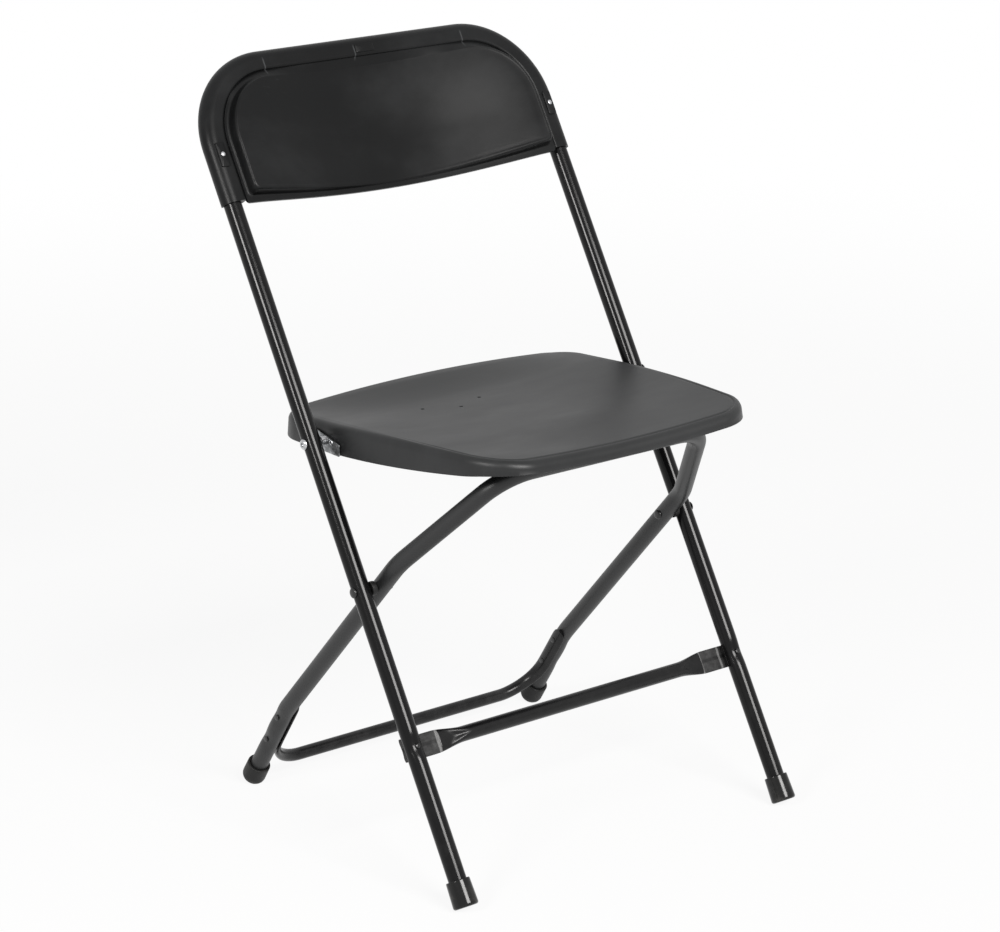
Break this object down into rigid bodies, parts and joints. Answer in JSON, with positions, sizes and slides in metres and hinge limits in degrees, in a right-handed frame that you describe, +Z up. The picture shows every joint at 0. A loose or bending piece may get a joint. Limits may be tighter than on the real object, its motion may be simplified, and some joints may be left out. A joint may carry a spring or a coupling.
{
  "type": "folding chair",
  "caption": "Folding chair with crossed tubular steel frames, a curved moulded backrest and a dished moulded seat that turns up as the legs close.",
  "frame": {"origin": "on the floor, under the centre of the open chair's bounding box", "axes": "+Z up, -Y is the side a sitter faces, +X to the left of a sitter"},
  "size_m": [0.4544, 0.4806, 0.786],
  "materials": {
    "front_paint": "gloss black stoved enamel",
    "rear_paint": "satin black stoved enamel",
    "bar_paint": "semi-gloss black stoved enamel",
    "back_plastic": "dark charcoal moulded plastic, fine grain",
    "seat_plastic": "charcoal moulded plastic, fine grain",
    "cap_rubber": "black moulded rubber",
    "black_rivet": "blackened steel",
    "bright_steel": "bright zinc plate",
    "plated_steel": "dull galvanised plate",
    "spacer_nylon": "black nylon"
  },
  "bodies": {
    "front_frame": {"back_rivet_left": "bright_steel", "back_rivet_right": "bright_steel", "backrest_shell": "back_plastic", "front_crossbar": "bar_paint", "front_crossbar_rivet_left": "black_rivet", "front_crossbar_rivet_right": "black_rivet", "front_foot_cap_left": "cap_rubber", "front_foot_cap_right": "cap_rubber", "front_frame_tube": "front_paint", "leg_pivot_pin_left": "black_rivet", "leg_pivot_pin_right": "black_rivet", "leg_pivot_spacer_left": "spacer_nylon", "leg_pivot_spacer_right": "spacer_nylon", "seat_pivot_pin_left": "bright_steel", "seat_pivot_pin_right": "bright_steel"},
    "rear_frame": {"rear_crossbar": "bar_paint", "rear_crossbar_rivet_left_1": "black_rivet", "rear_crossbar_rivet_left_2": "black_rivet", "rear_crossbar_rivet_right_1": "black_rivet", "rear_crossbar_rivet_right_2": "black_rivet", "rear_foot_cap_left": "cap_rubber", "rear_foot_cap_right": "cap_rubber", "rear_frame_tube": "rear_paint"},
    "seat": {"seat_bracket_left": "plated_steel", "seat_bracket_right": "plated_steel", "seat_bracket_rivet_left_front": "bright_steel", "seat_bracket_rivet_left_rear": "bright_steel", "seat_bracket_rivet_right_front": "bright_steel", "seat_bracket_rivet_right_rear": "bright_steel", "seat_shell": "seat_plastic"}
  },
  "joints": [
    {"name": "leg_fold", "type": "hinge", "parent": "front_frame", "child": "rear_frame", "pos_m": [0, -0.05933, 0.29003], "axis": [-1, 0, 0], "range_deg": [0, 65]},
    {"name": "seat_fold", "type": "hinge", "parent": "front_frame", "child": "seat", "pos_m": [0, 0.02232, 0.42646], "axis": [-1, 0, 0], "range_deg": [0, 115.7]}
  ],
  "couplings": [
    {"joint": "seat_fold", "follows": "leg_fold", "ratio": 1.78}
  ]
}
